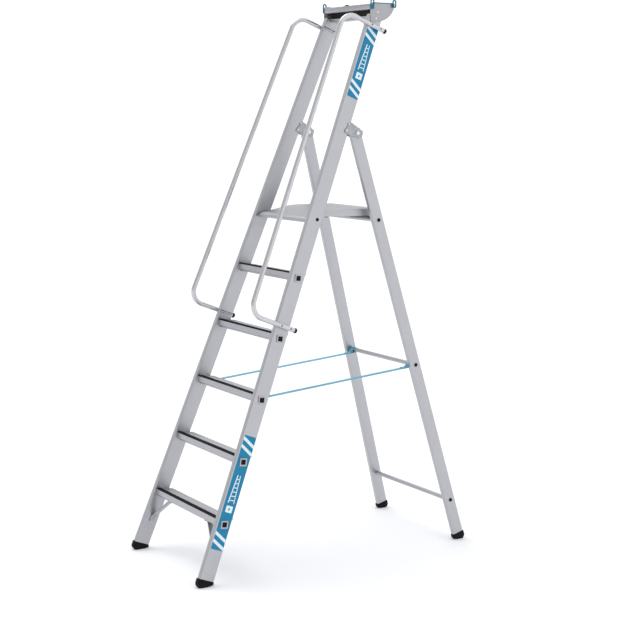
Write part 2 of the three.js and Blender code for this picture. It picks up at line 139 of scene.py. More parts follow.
def leg_frame(side):
    outer = Matrix.Translation((side * LEG_HALF, 0, 0))
    return REAR @ outer @ Matrix.Rotation(-side * atan(LEG_TAPER), 4, "Y")


def level_frame(y, z, x=0):
    """A frame that stands level, at a point on the ladder."""
    return LADDER @ Matrix.Translation((x, y, z))


def tread_frame(number):
    """A frame at the middle of a tread's tube, turned so that the tread's rear edge is low."""
    place = on_stile(TREAD_DEPTH, FIRST_TREAD + (number - 1) * TREAD_PITCH)
    return level_frame(*place) @ Matrix.Rotation(-TREAD_TILT, 4, "X")


# ---------------- outlines
def rectangle(x0, y0, x1, y1):
    return [(x0, y0), (x1, y0), (x1, y1), (x0, y1)]


def arc(cx, cy, radius, start, end, steps):
    angles = [radians(start + (end - start) * i / steps) for i in range(steps + 1)]
    return [(cx + radius * cos(a), cy + radius * sin(a)) for a in angles]


def rounded(points, radius, steps=4):
    """The closed outline with its corners rounded."""
    result = []
    count = len(points)
    for i, point in enumerate(points):
        corner = Vector(point)
        back = Vector(points[i - 1]) - corner
        ahead = Vector(points[(i + 1) % count]) - corner
        half = back.angle(ahead) / 2
        if half > radians(85):
            result.append(tuple(corner))
            continue
        reach = min(radius / tan(half), back.length * 0.49, ahead.length * 0.49)
        size = reach * tan(half)
        middle = corner + (back.normalized() + ahead.normalized()).normalized() * (size / sin(half))
        first = corner + back.normalized() * reach - middle
        last = corner + ahead.normalized() * reach - middle
        begin = atan2(first.y, first.x)
        turn = (atan2(last.y, last.x) - begin + pi) % (2 * pi) - pi
        for k in range(steps + 1):
            angle = begin + turn * k / steps
            result.append((middle.x + size * cos(angle), middle.y + size * sin(angle)))
    return result


def area(points):
    pairs = zip(points, points[1:] + points[:1])
    return sum(a[0] * b[1] - b[0] * a[1] for a, b in pairs) / 2


def shrunk(points, distance):
    """The closed outline moved in by a distance."""
    if not distance:
        return list(points)
    sign = 1 if area(points) > 0 else -1
    result = []
    count = len(points)
    for i, point in enumerate(points):
        here = Vector(point)
        before = (here - Vector(points[i - 1])).normalized()
        after = (Vector(points[(i + 1) % count]) - here).normalized()
        normal = (Vector((-before.y, before.x)) + Vector((-after.y, after.x))) * sign
        normal.normalize()
        grow = 1 / max(0.5, normal.dot(Vector((-after.y, after.x)) * sign))
        moved = here + normal * distance * grow
        result.append((moved.x, moved.y))
    return result


# ---------------- meshes
def along_x(t, u, v):
    return (t, u, v)


def along_y(t, u, v):
    return (u, t, v)


def along_z(t, u, v):
    return (u, v, t)


def loft(bm, rings, joined=False):
    """Skins closed rings of equal count. joined=True closes the last ring onto the first."""
    rows = [[bm.verts.new(point) for point in ring] for ring in rings]
    pairs = list(zip(rows, rows[1:]))
    if joined:
        pairs.append((rows[-1], rows[0]))
    for row, following in pairs:
        count = len(row)
        for i in range(count):
            j = (i + 1) % count
            bm.faces.new((row[i], row[j], following[j], following[i]))
    return rows


def close_ends(bm, rows):
    """Fills the first and the last ring of a loft."""
    for row in (rows[0], rows[-1]):
        bm.faces.new(row)


def stacked(bm, outline, profile):
    """A hollow or solid form of level outlines, one per (height, inset) in the profile."""
    rings = [[(x, y, z) for x, y in shrunk(outline, inset)] for z, inset in profile]
    close_ends(bm, loft(bm, rings))


def steps_from(place, *steps, sign=1):
    """A profile for turned(): pairs of a distance on from a place, and a size."""
    return [(place + sign * distance, size) for distance, size in steps]


def slab(bm, outline, start, end, axes, edge=0.4, holes=(), steps=2):
    """An outline with holes, given a thickness along one axis, with its edges eased."""
    eased = []
    for k in range(steps + 1):
        angle = pi / 2 * k / steps
        eased.append((edge * (1 - sin(angle)), edge * (1 - cos(angle))))
    stations = [(start + fall, inset) for inset, fall in eased]
    stations += [(end - fall, inset) for inset, fall in reversed(eased)]
    if not edge:
        stations = [(start, 0), (end, 0)]
    ends = []
    for number, loop in enumerate([outline, *holes]):
        sign = 1 if number == 0 else -1
        rings = [[axes(t, *p) for p in shrunk(loop, sign * inset)] for t, inset in stations]
        rows = loft(bm, rings)
        ends.append((rows[0], rows[-1]))
    for which in (0, 1):
        loops = [rows[which] for rows in ends]
        flat = [v for row in loops for v in row]
        shapes = [[Vector(v.co) for v in row] for row in loops]
        for triangle in tessellate_polygon(shapes):
            corners = [flat[i] for i in triangle]
            if len(set(corners)) == 3 and not bm.faces.get(corners):
                bm.faces.new(corners)


def circle_ring(radius, sides=32):
    return arc(0, 0, radius, 0, 360, sides)[:-1]


def square_ring(half, steps=3):
    return rounded(rectangle(-half, -half, half, half), min(2.6, half * 0.2), steps)


def turned(bm, profile, axes, ring=circle_ring, centre=(0, 0), hollow=False):
    """Rings along an axis, one per (place, size) in the profile. A size of 0 is a closed end."""
    rings = []
    for place, size in profile:
        points = ring(max(size, 0.01))
        rings.append([axes(place, centre[0] + u, centre[1] + v) for u, v in points])
    rows = loft(bm, rings, joined=hollow)
    if not hollow:
        close_ends(bm, rows)


def sweep(bm, path, section, side_axis):
    """Carries a closed section of (sideways, up) points along a path that stays in one plane."""
    rings = []
    points = [Vector(p) for p in path]
    side = Vector(side_axis)
    for i, point in enumerate(points):
        before = points[max(i - 1, 0)]
        after = points[min(i + 1, len(points) - 1)]
        heading = (after - before).normalized()
        up = side.cross(heading).normalized()
        rings.append([point + side * u + up * v for u, v in section])
    return loft(bm, rings)


def pipe(bm, path, radius, wall, side_axis, sides=28):
    """A round tube with open ends along a path that stays in one plane."""
    outer = arc(0, 0, radius, 0, 360, sides)[:-1]
    inner = arc(0, 0, radius - wall, 0, 360, sides)[:-1]
    skins = [sweep(bm, path, section, side_axis) for section in (outer, inner)]
    for end in (0, -1):
        first, second = skins[0][end], skins[1][end]
        for i in range(sides):
            j = (i + 1) % sides
            bm.faces.new((first[i], first[j], second[j], second[i]))


def dome(bm, place, axes, radius, height, centre, washer=0):
    """A round head on a face, with an optional washer under it."""
    sign = 1 if height > 0 else -1
    if washer:
        thick = sign * 0.8
        profile = [(place, washer - 0.2), (place + thick * 0.3, washer), (place + thick, washer - 0.2)]
        turned(bm, profile, axes, centre=centre)
        place += thick
    curve = []
    for k in range(7):
        angle = pi / 2 * k / 6
        curve.append((place + height * sin(angle), max(0.15, radius * cos(angle))))
    turned(bm, [(place - sign * 0.5, radius)] + curve, axes, centre=centre)


def make(name, bm, place, material, body, side=1, stands_for=(), smooth=38):
    """Turns the mesh into a piece in metres. side=-1 mirrors it for the left of the ladder."""
    if side < 0:
        bmesh.ops.scale(bm, vec=(-1, 1, 1), verts=bm.verts)
    bmesh.ops.scale(bm, vec=(MM, MM, MM), verts=bm.verts)
    bmesh.ops.remove_doubles(bm, verts=bm.verts, dist=0.000002)
    bmesh.ops.dissolve_degenerate(bm, dist=0.000002, edges=bm.edges)
    bmesh.ops.recalc_face_normals(bm, faces=bm.faces)
    mesh = bpy.data.meshes.new(name)
    bm.to_mesh(mesh)
    bm.free()
    for polygon in mesh.polygons:
        polygon.use_smooth = True
    mesh.set_sharp_from_angle(angle=radians(smooth))
    mesh.materials.append(material)
    piece = bpy.data.objects.new(name, mesh)
    bpy.context.collection.objects.link(piece)
    piece.matrix_world = Matrix.Translation(place.translation * MM) @ place.to_3x3().to_4x4()
    if body:
        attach(piece, body)
    if stands_for:
        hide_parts(*stands_for)
    return piece


# ---------------- materials
class Paint:
    """A principled material that is built up node by node."""

    def __init__(self, name, roughness, metallic=0.0, **sockets):
        self.material = bpy.data.materials.new(name)
        self.material.use_nodes = True
        self.tree = self.material.node_tree
        self.shader = self.tree.nodes["Principled BSDF"]
        self.shader.inputs["Roughness"].default_value = roughness
        self.shader.inputs["Metallic"].default_value = metallic
        for socket, value in sockets.items():
            self.shader.inputs[socket.replace("_", " ")].default_value = value
        self.place = self.node("ShaderNodeTexCoord").outputs["Object"]

    def node(self, kind, links=(), **settings):
        """Adds a node. links pairs an input's name or number with an output or a value."""
        made = self.tree.nodes.new(kind)
        for key, value in settings.items():
            setattr(made, key, value)
        for socket, value in links:
            if isinstance(value, bpy.types.NodeSocket):
                self.tree.links.new(value, made.inputs[socket])
            else:
                made.inputs[socket].default_value = value
        return made

    def stretched(self, scale):
        mapping = self.node("ShaderNodeMapping", [("Vector", self.place), ("Scale", scale)])
        return mapping.outputs["Vector"]

    def noise(self, scale, detail=4.0, stretch=(1, 1, 1), roughness=0.55):
        links = [
            ("Vector", self.stretched(stretch)),
            ("Scale", scale),
            ("Detail", detail),
            ("Roughness", roughness),
        ]
        return self.node("ShaderNodeTexNoise", links).outputs["Fac"]

    def cells(self, scale, output="Color"):
        voronoi = self.node("ShaderNodeTexVoronoi", [("Vector", self.place), ("Scale", scale)])
        return voronoi.outputs[output]

    def ramp(self, factor, *stops):
        ramp = self.node("ShaderNodeValToRGB", [("Fac", factor)])
        elements = ramp.color_ramp.elements
        while len(elements) < len(stops):
            elements.new(0.5)
        for element, (position, colour) in zip(elements, stops):
            element.position = position
            element.color = (*colour, 1)
        return ramp.outputs["Color"]

    def between(self, factor, low, high, start=0.3, end=0.7):
        links = [("Value", factor), (1, start), (2, end), (3, low), (4, high)]
        return self.node("ShaderNodeMapRange", links).outputs["Result"]

    def sum(self, first, second, operation="ADD"):
        return self.node("ShaderNodeMath", [(0, first), (1, second)], operation=operation).outputs[0]

    def blend(self, factor, first, second, kind="MIX"):
        mixer = self.node("ShaderNodeMix", data_type="RGBA", blend_type=kind)
        for socket, value in ((0, factor), (6, first), (7, second)):
            if isinstance(value, bpy.types.NodeSocket):
                self.tree.links.new(value, mixer.inputs[socket])
            else:
                mixer.inputs[socket].default_value = value if socket == 0 else (*value, 1)
        return mixer.outputs[2]

    def wire(self, **links):
        for socket, output in links.items():
            self.tree.links.new(output, self.shader.inputs[socket.replace("_", " ")])

    def bump(self, height, distance, strength=1.0):
        links = [("Height", height), ("Distance", distance), ("Strength", strength)]
        self.wire(Normal=self.node("ShaderNodeBump", links).outputs["Normal"])


def shaded(colour, factor):
    return tuple(channel * factor for channel in colour)


def drawn_metal(name, colour, roughness, grain, metallic=0.9):
    """Extruded aluminium: fine die lines along the grain, faint clouding, and a painted highlight that makes
    sharp edges brighter.
    """
    paint = Paint(name, roughness, metallic)
    fine = tuple(0.004 if axis == grain else 1.0 for axis in "xyz")
    broad = tuple(0.05 if axis == grain else 1.0 for axis in "xyz")
    lines = paint.noise(900.0, 3.0, fine, 0.6)
    bands = paint.noise(70.0, 4.0, broad)
    clouds = paint.noise(9.0, 5.0)
    tone = paint.ramp(clouds, (0.3, shaded(colour, 0.955)), (0.7, shaded(colour, 1.03)))
    streak = paint.ramp(bands, (0.35, (0.965, 0.965, 0.97)), (0.65, (1.0, 1.0, 1.0)))
    toned = paint.blend(1.0, tone, streak, "MULTIPLY")
    # Painted highlight: the base colour is made brighter along sharp convex edges.
    edges = paint.node("ShaderNodeNewGeometry").outputs["Pointiness"]
    edge_highlight = paint.between(edges, 0.0, 0.35, 0.52, 0.6)
    paint.wire(Base_Color=paint.blend(edge_highlight, toned, shaded(colour, 1.25)))
    rough = paint.between(paint.sum(lines, bands), roughness - 0.05, roughness + 0.07, 0.7, 1.3)
    paint.wire(Roughness=rough)
    paint.bump(lines, 0.00004, 0.35)
    return paint.material


def tube_metal():
    """Drawn and polished tube for the handrails."""
    colour = (0.58, 0.58, 0.60)
    paint = Paint("polished_tube", 0.24, 0.95)
    clouds = paint.noise(14.0, 5.0)
    scuffs = paint.noise(420.0, 3.0, (1, 1, 0.08))
    paint.wire(Base_Color=paint.ramp(clouds, (0.3, shaded(colour, 0.94)), (0.7, colour)))
    paint.wire(Roughness=paint.between(scuffs, 0.19, 0.31))
    paint.bump(scuffs, 0.00003, 0.3)
    return paint.material


def galvanised():
    """Zinc spangle: flat crystals of slightly different greys."""
    paint = Paint("galvanised_sheet", 0.42, 0.85)
    crystals = paint.cells(190.0)
    grey = paint.node("ShaderNodeSeparateColor", [("Color", crystals)]).outputs["Red"]
    tone = paint.ramp(grey, (0.0, (0.34, 0.36, 0.37)), (1.0, (0.47, 0.49, 0.51)))
    stain = paint.ramp(paint.noise(30.0), (0.35, (0.88, 0.88, 0.87)), (0.65, (1.0, 1.0, 1.0)))
    paint.wire(Base_Color=paint.blend(1.0, tone, stain, "MULTIPLY"))
    paint.wire(Roughness=paint.between(grey, 0.36, 0.52, 0.0, 1.0))
    paint.bump(paint.noise(600.0), 0.00005, 0.3)
    return paint.material


def bright_steel():
    paint = Paint("zinc_plated_steel", 0.22, 1.0)
    turning = paint.noise(700.0, 3.0)
    paint.wire(Base_Color=paint.ramp(turning, (0.3, (0.66, 0.67, 0.68)), (0.7, (0.82, 0.82, 0.82))))
    paint.wire(Roughness=paint.between(turning, 0.17, 0.3))
    paint.bump(turning, 0.00003, 0.25)
    return paint.material


def rubber():
    """Matt black rubber: fine pebbling, dusty grey where it is rubbed."""
    paint = Paint("foot_rubber", 0.8, 0.0, Specular_IOR_Level=0.12)
    dust = paint.noise(55.0, 6.0)
    pebbles = paint.noise(1500.0, 2.0)
    paint.wire(Base_Color=paint.ramp(dust, (0.35, (0.005, 0.005, 0.006)), (0.75, (0.013, 0.013, 0.014))))
    paint.wire(Roughness=paint.between(dust, 0.62, 0.82))
    paint.bump(pebbles, 0.00012, 0.5)
    return paint.material


def moulded(name, colour, roughness):
    """Moulded plastic with a fine spark-eroded texture."""
    paint = Paint(name, roughness, 0.0, Specular_IOR_Level=0.2)
    clouds = paint.noise(40.0, 4.0)
    texture = paint.noise(1900.0, 2.0)
    paint.wire(Base_Color=paint.ramp(clouds, (0.3, shaded(colour, 0.86)), (0.7, shaded(colour, 1.06))))
    paint.wire(Roughness=paint.between(texture, roughness - 0.06, roughness + 0.08))
    paint.bump(texture, 0.00006, 0.4)
    return paint.material


def film(name, colour):
    """Printed adhesive film: satin, with faint ink mottling and handling scratches."""
    paint = Paint(name, 0.42, 0.0, Specular_IOR_Level=0.3, Coat_Weight=0.06, Coat_Roughness=0.2)
    mottle = paint.noise(160.0, 5.0)
    scratches = paint.noise(500.0, 4.0, (1, 1, 0.05))
    paint.wire(Base_Color=paint.ramp(mottle, (0.3, shaded(colour, 0.93)), (0.7, shaded(colour, 1.05))))
    paint.wire(Roughness=paint.between(scratches, 0.36, 0.5))
    paint.bump(scratches, 0.00002, 0.25)
    return paint.material


def webbing():
    """Flat woven polyester: rows of weft across the strap, and warp ribs along it."""
    paint = Paint("woven_webbing", 0.78, 0.0, Sheen_Weight=0.35, Sheen_Roughness=0.5)
    parts = paint.node("ShaderNodeSeparateXYZ", [("Vector", paint.place)])

    def threads(axis, pitch):
        turns = paint.sum(parts.outputs[axis], 2 * pi / pitch, "MULTIPLY")
        return paint.node("ShaderNodeMath", [(0, turns)], operation="SINE").outputs[0]

    weft = threads("Y", 0.0022)
    warp = threads("X", 0.0019)
    weave = paint.sum(weft, warp, "MULTIPLY")
    fuzz = paint.noise(1400.0, 3.0)
    height = paint.sum(weave, fuzz)
    body = paint.ramp(
        paint.between(weave, 0.0, 1.0, -1.0, 1.0),
        (0.1, (0.03, 0.27, 0.42)),
        (0.6, (0.07, 0.43, 0.6)),
        (0.95, (0.13, 0.53, 0.7)),
    )
    faded = paint.ramp(paint.noise(11.0, 4.0), (0.3, (0.9, 0.9, 0.9)), (0.7, (1.0, 1.0, 1.0)))
    paint.wire(Base_Color=paint.blend(1.0, body, faded, "MULTIPLY"))
    paint.wire(Roughness=paint.between(fuzz, 0.7, 0.88))
    paint.bump(height, 0.00025, 0.6)
    return paint.material


def dark_steel():
    paint = Paint("dark_bolt_steel", 0.38, 0.9)
    clouds = paint.noise(300.0, 3.0)
    paint.wire(Base_Color=paint.ramp(clouds, (0.3, (0.1, 0.1, 0.105)), (0.7, (0.17, 0.17, 0.18))))
    paint.wire(Roughness=paint.between(clouds, 0.3, 0.48))
    paint.bump(clouds, 0.00004, 0.3)
    return paint.material


ALUMINIUM = (0.43, 0.435, 0.455)
STILE_METAL = drawn_metal("drawn_aluminium_upright", ALUMINIUM, 0.36, "z")
CROSS_METAL = drawn_metal("drawn_aluminium_cross", shaded(ALUMINIUM, 0.98), 0.36, "x")
DECK_METAL = drawn_metal("deck_aluminium", shaded(ALUMINIUM, 1.02), 0.4, "y")
TUBE_METAL = tube_metal()
ZINC = galvanised()
STEEL = bright_steel()
RUBBER = rubber()
BLACK = moulded("black_plastic", (0.004, 0.004, 0.005), 0.6)
BLUE = moulded("blue_plastic", (0.012, 0.17, 0.26), 0.42)
BLUE_FILM = film("blue_film", (0.002, 0.2, 0.37))
WHITE_FILM = film("white_film", (0.72, 0.82, 0.87))
WEBBING = webbing()
STITCHING = film("stitching_thread", (0.45, 0.7, 0.8))
DARK_STEEL = dark_steel()
CHEEK_METAL = drawn_metal("cheek_aluminium", shaded(ALUMINIUM, 0.9), 0.42, "y")


# ---------------- camera
CAMERA_LENS = 82.58
CAMERA_SHIFT = (-0.0039, -0.0553)
CAMERA_PLACE = (5.1815, -2.49405, 1.8408)  # metres, from under the front of the stiles
CAMERA_HEADING, CAMERA_DIP, CAMERA_ROLL = 57.937, 6.767, 0.143


def add_camera():
    data = bpy.data.cameras.new("camera")
    data.sensor_width = 36
    data.lens = CAMERA_LENS
    data.shift_x, data.shift_y = CAMERA_SHIFT
    data.clip_end = 100
    camera = bpy.data.objects.new("camera", data)
    bpy.context.collection.objects.link(camera)
    turn = (
        Matrix.Rotation(radians(CAMERA_HEADING), 4, "Z")
        @ Matrix.Rotation(radians(90 - CAMERA_DIP), 4, "X")
        @ Matrix.Rotation(radians(CAMERA_ROLL), 4, "Z")
    )
    x, y, z = CAMERA_PLACE
    camera.matrix_world = Matrix.Translation((x, SHIFT * MM + y, z)) @ turn
    bpy.context.scene.camera = camera


# ---------------- straps
anchor = Vector((0, *on_stile(*STRAP_ANCHOR)))
bar = Vector((0, *on_leg(BAR_DEPTH, BAR_ALONG["strap"])))
strap_end = bar - Vector((0, 0, BAR_RADIUS + STRAP_THICK / 2 + 1.2))
strap_run = strap_end - anchor
strap_heading = strap_run.normalized()
strap_down = Vector((0, strap_heading.z, -strap_heading.y))


def webbing_section(width, thick):
    """A flat strap's section with round selvedges and shallow ribs along its faces."""
    half = width / 2
    round_edge = thick / 2
    right = arc(half - round_edge, 0, round_edge, -90, 90, 6)
    left = arc(-half + round_edge, 0, round_edge, 90, 270, 6)
    ribs = 6
    top, bottom = [], []
    for k in range(1, 4 * ribs):
        place = (half - round_edge) * (1 - 2 * k / (4 * ribs))
        rise = 0.12 * cos(pi * k / 2)
        top.append((place, round_edge + rise))
        bottom.append((-place, -round_edge - rise))
    return right + top + left + bottom


def add_strap(name, side):
    """One taut length of webbing from the third tread to the rear frame's bar."""
    sunk = strap_down * (STRAP_THICK / 2)
    start = LADDER @ (anchor + sunk)
    finish = LADDER @ (strap_end + sunk)
    knee = start + strap_heading * STRAP_KNEE
    offset = Vector((side * STRAP_X, 0, 0))
    rows = 90
    path = [start.lerp(finish, i / rows) + offset for i in range(rows + 1)]
    close = 24
    near_knee = [knee + strap_heading * (26 * (2 * i / close - 1)) + offset for i in range(close + 1)]
    path = sorted([*path, *near_knee], key=lambda p: p.y)
    path = [p for i, p in enumerate(path) if i == 0 or (p - path[i - 1]).length > 0.4]
    bm = bmesh.new()
    rows_made = sweep(bm, path, webbing_section(STRAP_WIDTH, STRAP_THICK), (1, 0, 0))
    close_ends(bm, rows_made)
    nodes = (f"strap_front_{name}", f"strap_rear_{name}")
    strap = make(f"strap_{name}", bm, Matrix.Identity(4), WEBBING, None, stands_for=nodes)
    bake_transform(strap)


def add_strap_loop(name, side):
    """The strap's sewn end: a loop round the bar, and its tail stitched down on top of the strap."""
    thick = 1.8
    reach = BAR_RADIUS + 0.2 + thick / 2
    slope = strap_heading.z / strap_heading.y
    surface = strap_end.z - bar.z

    def on_strap(distance, rise=0.0):
        return Vector((0, -distance, surface - distance * slope + thick / 2 + 0.1 + rise))

    leaving = 150
    wrap = [Vector((0, y, z)) for y, z in arc(0, 0, reach, leaving, -88, 26)]
    foot = on_strap(24)
    climb = [foot.lerp(wrap[0], k / 4) for k in range(4)]
    pieces = (
        ("strap_loop", [*climb, *wrap], "rear_frame"),
        ("strap_tail", [on_strap(46), on_strap(38), on_strap(30), on_strap(24.5)], "strap_rear"),
    )
    place = level_frame(bar.y, bar.z, side * STRAP_X)
    for kind, path, body in pieces:
        bm = bmesh.new()
        rows = sweep(bm, path, webbing_section(STRAP_WIDTH, thick), (1, 0, 0))
        close_ends(bm, rows)
        make(f"{kind}_{name}", bm, place, WEBBING, body)
    bm = bmesh.new()
    for across in range(-4, 5):
        for distance in (28, 32, 39, 43):
            _, y, z = on_strap(distance, thick / 2 + 0.15)
            x = across * 2.5
            stitch = rounded(rectangle(x - 0.95, y - 0.4, x + 0.95, y + 0.4), 0.3, 2)
            slab(bm, stitch, z - 0.2, z + 0.35, along_z, 0.12, steps=1)
    make(f"strap_stitching_{name}", bm, place, STITCHING, "strap_rear")


def add_strap_anchor(name, side):
    """A steel tab on the back of the third tread's tube, curled round the pin that holds the strap."""
    place = tread_frame(3) @ Matrix.Translation((side * STRAP_X, 0, 0))
    pin = place.inverted() @ (LADDER @ (anchor + strap_down * (STRAP_THICK / 2)))
    back = TREAD_TUBE + 0.1
    bm = bmesh.new()
    slab(bm, rounded(rectangle(back, -9, back + 1.8, 9), 0.6, 2), -15, 15, along_x, 0.3)
    arm = [(back + 1.4, pin.z - 0.9), (pin.y - 3.2, pin.z - 0.9), (pin.y - 3.2, pin.z + 0.9),
           (back + 1.4, pin.z + 0.9)]
    for x in (-16.5, 14.0):
        slab(bm, rounded(arm, 0.5, 2), x, x + 2.5, along_x, 0.2)
        eye = [(pin.y + u, pin.z + v) for u, v in circle_ring(3.6, 20)]
        slab(bm, eye, x, x + 2.5, along_x, 0.3)
    turned(bm, [(-15, 0), (-15, 1.1), (15, 1.1), (15, 0)], along_x, centre=(pin.y, pin.z))
    for x in (-9, 9):
        dome(bm, back + 1.8, along_y, 2.6, 1.6, (x, -4.5))
    make(f"strap_anchor_{name}", bm, place, STEEL, "front_frame")


# ---------------- stiles and legs
def hollow_section(thick, depth, start, end, corner):
    bm = bmesh.new()
    outer = rounded(rectangle(-thick, 0, 0, depth), corner, 6)
    inner = rounded(rectangle(WALL - thick, WALL, -WALL, depth - WALL), corner - WALL, 6)
    rings = []
    for outline, place in ((outer, start), (outer, end), (inner, end), (inner, start)):
        rings.append([(x, y, place) for x, y in outline])
    loft(bm, rings, joined=True)
    return bm


def add_uprights(name, side):
    bm = hollow_section(STILE_THICK, STILE_DEPTH, STILE_FOOT + GAP, STILE_TOP, 3.6)
    make(f"stile_profile_{name}", bm, stile_frame(side), STILE_METAL, "front_frame",
         side, [f"stile_{name}"])
    bm = hollow_section(LEG_THICK, LEG_DEPTH, LEG_FOOT + GAP, LEG_TOP, 3.2)
    make(f"leg_profile_{name}", bm, leg_frame(side), STILE_METAL, "rear_frame",
         side, [f"rear_leg_{name}"])


def add_leg_cap(name, side):
    """The plastic plug in the top of a rear leg."""
    bm = bmesh.new()
    inset = WALL + GAP
    body = rounded(rectangle(inset - LEG_THICK, inset, -inset, LEG_DEPTH - inset), 1.4)
    slab(bm, body, LEG_TOP - 16, LEG_TOP, along_z, 0.3)
    flange = rounded(rectangle(0.4 - LEG_THICK, 0.4, -0.4, LEG_DEPTH - 0.4), 3)
    slab(bm, flange, LEG_TOP + 0.05, LEG_TOP + 2.2, along_z, 0.8)
    make(f"leg_cap_{name}", bm, leg_frame(side), BLACK, "rear_frame", side)


# ---------------- feet
def settle(bm, place, side):
    """Flattens onto the floor whatever would go through it."""
    mirror = Matrix.Scale(-1, 4, (1, 0, 0)) if side < 0 else Matrix.Identity(4)
    placed = place @ mirror
    back = placed.inverted()
    for vertex in bm.verts:
        world = placed @ vertex.co
        if world.z < 0:
            world.z = 0
            vertex.co = back @ world


def boot(bm, outline, thick, depth, foot):
    """A rubber boot over the cut end of a box section, with ribs round its top."""
    slab(bm, rounded(outline, 4, 4), -thick - 1.5, 1.5, along_x, 1.8, steps=4)
    for level in (foot - 4, foot - 9):
        collar = rounded(rectangle(-thick - 2.1, -3, 2.1, depth + 2.6), 3, 3)
        slab(bm, collar, level - 1.1, level + 1.1, along_z, 0.5)
    inset = WALL + GAP
    plug = rounded(rectangle(inset - thick, inset, -inset, depth - inset), 1.4)
    slab(bm, plug, foot - 6, foot + 24, along_z, 0.5)


def add_feet(name, side):
    sole = 2.5
    slope = tan(LEAN)
    outline = [(-2.2, STILE_FOOT), (-2.6, 22), (1, 13), (9, 7.5), (20, 20 * slope - sole),
               (46, 46 * slope - sole), (57, 25), (65.6, 30), (66.6, STILE_FOOT)]
    bm = bmesh.new()
    boot(bm, outline, STILE_THICK, STILE_DEPTH, STILE_FOOT)
    place = stile_frame(side)
    settle(bm, place, side)
    make(f"front_boot_{name}", bm, place, RUBBER, "front_frame", side, [f"front_foot_{name}"])
    slope = tan(REAR_LEAN)
    outline = [(-2.4, LEG_FOOT), (-2.4, 8), (1, 2), (8, -8 * slope - sole), (36, -36 * slope - sole),
               (46, -6), (52.4, 2), (52.4, LEG_FOOT)]
    bm = bmesh.new()
    boot(bm, outline, LEG_THICK, LEG_DEPTH, LEG_FOOT)
    place = leg_frame(side)
    settle(bm, place, side)
    make(f"rear_boot_{name}", bm, place, RUBBER, "rear_frame", side, [f"rear_foot_{name}"])


# ---------------- treads
def tread_section():
    """The deck's outline: a ribbed top, a deep front lip, a short rear lip and the sides of the tube."""
    top, front, rear = TREAD_TOP, TREAD_FRONT, TREAD_REAR
    under = top - TREAD_SKIN
    side = TREAD_TUBE - 0.2
    heel = top - REAR_FALL
    outline = [(-side, -side), (side, -side), (side, under), (rear - 2.6, under), (rear - 2.6, heel + 1),
               (rear - 2.0, heel), (rear - 0.6, heel), (rear, heel + 1), (rear, top - 1)]
    y = rear - 1
    while y - 4.4 > front + GRIP_DEPTH:
        outline += [(y, top), (y - 1.6, top), (y - 2.3, top - 1.2), (y - 3.7, top - 1.2)]
        y -= 4.4
    recess = top - GRIP_RECESS
    edge = front + GRIP_DEPTH
    toe = top - FRONT_FALL
    outline += [(edge, top), (edge, recess), (front + 2, recess), (front, recess - 2), (front, toe + 1),
                (front + 0.8, toe), (front + 2.2, toe), (front + 3, toe + 1),
                (front + 3, recess - TREAD_SKIN - 1.5), (front + 4.5, recess - TREAD_SKIN),
                (-side, recess - TREAD_SKIN)]
    channel = rectangle(-10.2, side, 10.2, recess - TREAD_SKIN)
    return outline, [square_ring(10), channel]


def fit_between_stiles(bm, along, clear):
    """Moves the ends of a tilted cross piece to the leaning inner faces of the stiles."""
    turn = LEAN - TREAD_TILT
    for vertex in bm.verts:
        here = along + vertex.co.y * sin(turn) + vertex.co.z * cos(turn)
        reach = stile_inner(here) - clear - max(0, 1 - abs(vertex.co.x))
        vertex.co.x = copysign(reach, vertex.co.x)


def add_grip(number, along, place):
    """A ribbed rubber nosing let into the front edge of the tread."""
    nose = TREAD_FRONT - 1.4
    crown = TREAD_TOP + 0.8
    under = TREAD_TOP - GRIP_RECESS + GAP
    back = TREAD_FRONT + GRIP_DEPTH - GAP
    low = TREAD_TOP - GRIP_FALL
    outline = [(nose + 0.2, low), (TREAD_FRONT - GAP, low), (TREAD_FRONT - GAP, under - 2.2),
               (TREAD_FRONT + 1.8, under), (back, under), (back, crown - 0.5)]
    for k in range(7):
        y = back - 0.5 - k * 2.5
        outline += [(y, crown), (y - 1.1, crown), (y - 1.5, crown - 0.8), (y - 2.1, crown - 0.8)]
    outline += [(nose + 0.7, crown - 0.4), (nose, crown - 1.5), (nose, low + 0.6)]
    bm = bmesh.new()
    slab(bm, outline, -1, 1, along_x, 0)
    fit_between_stiles(bm, along, 0.6)
    make(f"grip_strip_{number}", bm, place, RUBBER, "front_frame",
         stands_for=[f"tread_grip_{number}"])


